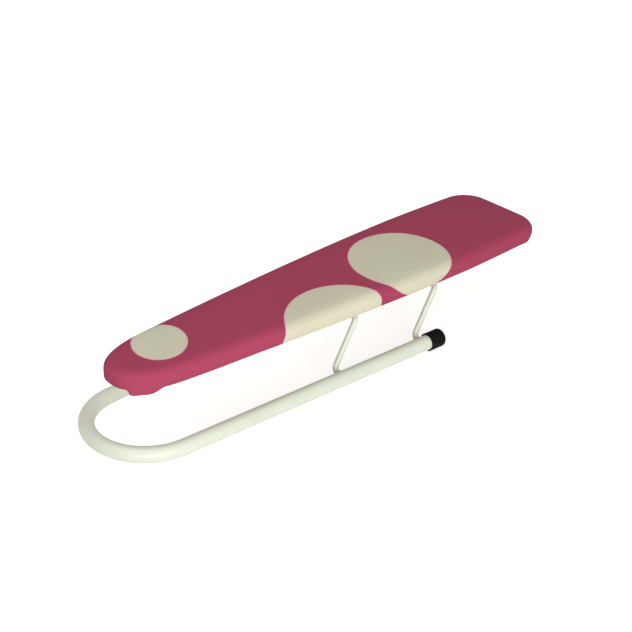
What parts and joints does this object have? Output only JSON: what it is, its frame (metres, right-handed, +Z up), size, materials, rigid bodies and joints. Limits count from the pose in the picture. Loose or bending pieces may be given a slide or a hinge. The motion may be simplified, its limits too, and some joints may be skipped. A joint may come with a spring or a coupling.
{
  "type": "sleeve ironing board",
  "caption": "Tabletop sleeve ironing board: narrow padded board with a dotted cover on two bent rod legs, which fold flat over a hairpin tube base.",
  "frame": {"origin": "on the table, under the middle of the whole object", "axes": "+X from the pointed nose towards the wide end, +Y across the board, +Z up"},
  "size_m": [0.5747, 0.17, 0.082],
  "materials": {
    "painted_steel": "semi-gloss cream powder coat",
    "cap_rubber": "matt black rubber",
    "bush_nylon": "natural nylon",
    "zinc_steel": "zinc plated",
    "board_wood": "bare plywood",
    "pad_foam": "open-cell foam",
    "cover_cotton": "pink cotton cloth printed with big cream dots"
  },
  "bodies": {
    "base": {"base_tube": "painted_steel", "end_cap_left": "cap_rubber", "end_cap_right": "cap_rubber", "foot_bush_nose_left": "bush_nylon", "foot_bush_nose_right": "bush_nylon", "foot_bush_wide_left": "bush_nylon", "foot_bush_wide_right": "bush_nylon"},
    "wide_legs": {"wide_leg_frame": "painted_steel"},
    "nose_legs": {"nose_leg_frame": "painted_steel"},
    "board": {"saddle_nose_left": "zinc_steel", "saddle_nose_right": "zinc_steel", "saddle_wide_left": "zinc_steel", "saddle_wide_right": "zinc_steel", "saddle_screws": "zinc_steel", "stop_plate": "zinc_steel", "stop_plate_screws": "zinc_steel", "board_panel": "board_wood", "foam_pad": "pad_foam", "cover": "cover_cotton", "cover_staples": "zinc_steel"}
  },
  "joints": [
    {"name": "fold", "type": "hinge", "parent": "base", "child": "wide_legs", "pos_m": [0.08476, 0, 0.01], "axis": [0, -1, 0], "range_deg": [0, 115]},
    {"name": "nose_legs_turn", "type": "hinge", "parent": "base", "child": "nose_legs", "pos_m": [-0.02564, 0, 0.01], "axis": [0, -1, 0], "range_deg": [0, 115]},
    {"name": "board_stays_level", "type": "hinge", "parent": "wide_legs", "child": "board", "pos_m": [0.11409, 0, 0.06142], "axis": [0, -1, 0], "range_deg": [-115, 0]}
  ],
  "couplings": [
    {"joint": "nose_legs_turn", "follows": "fold", "ratio": 1},
    {"joint": "board_stays_level", "follows": "fold", "ratio": -1}
  ]
}
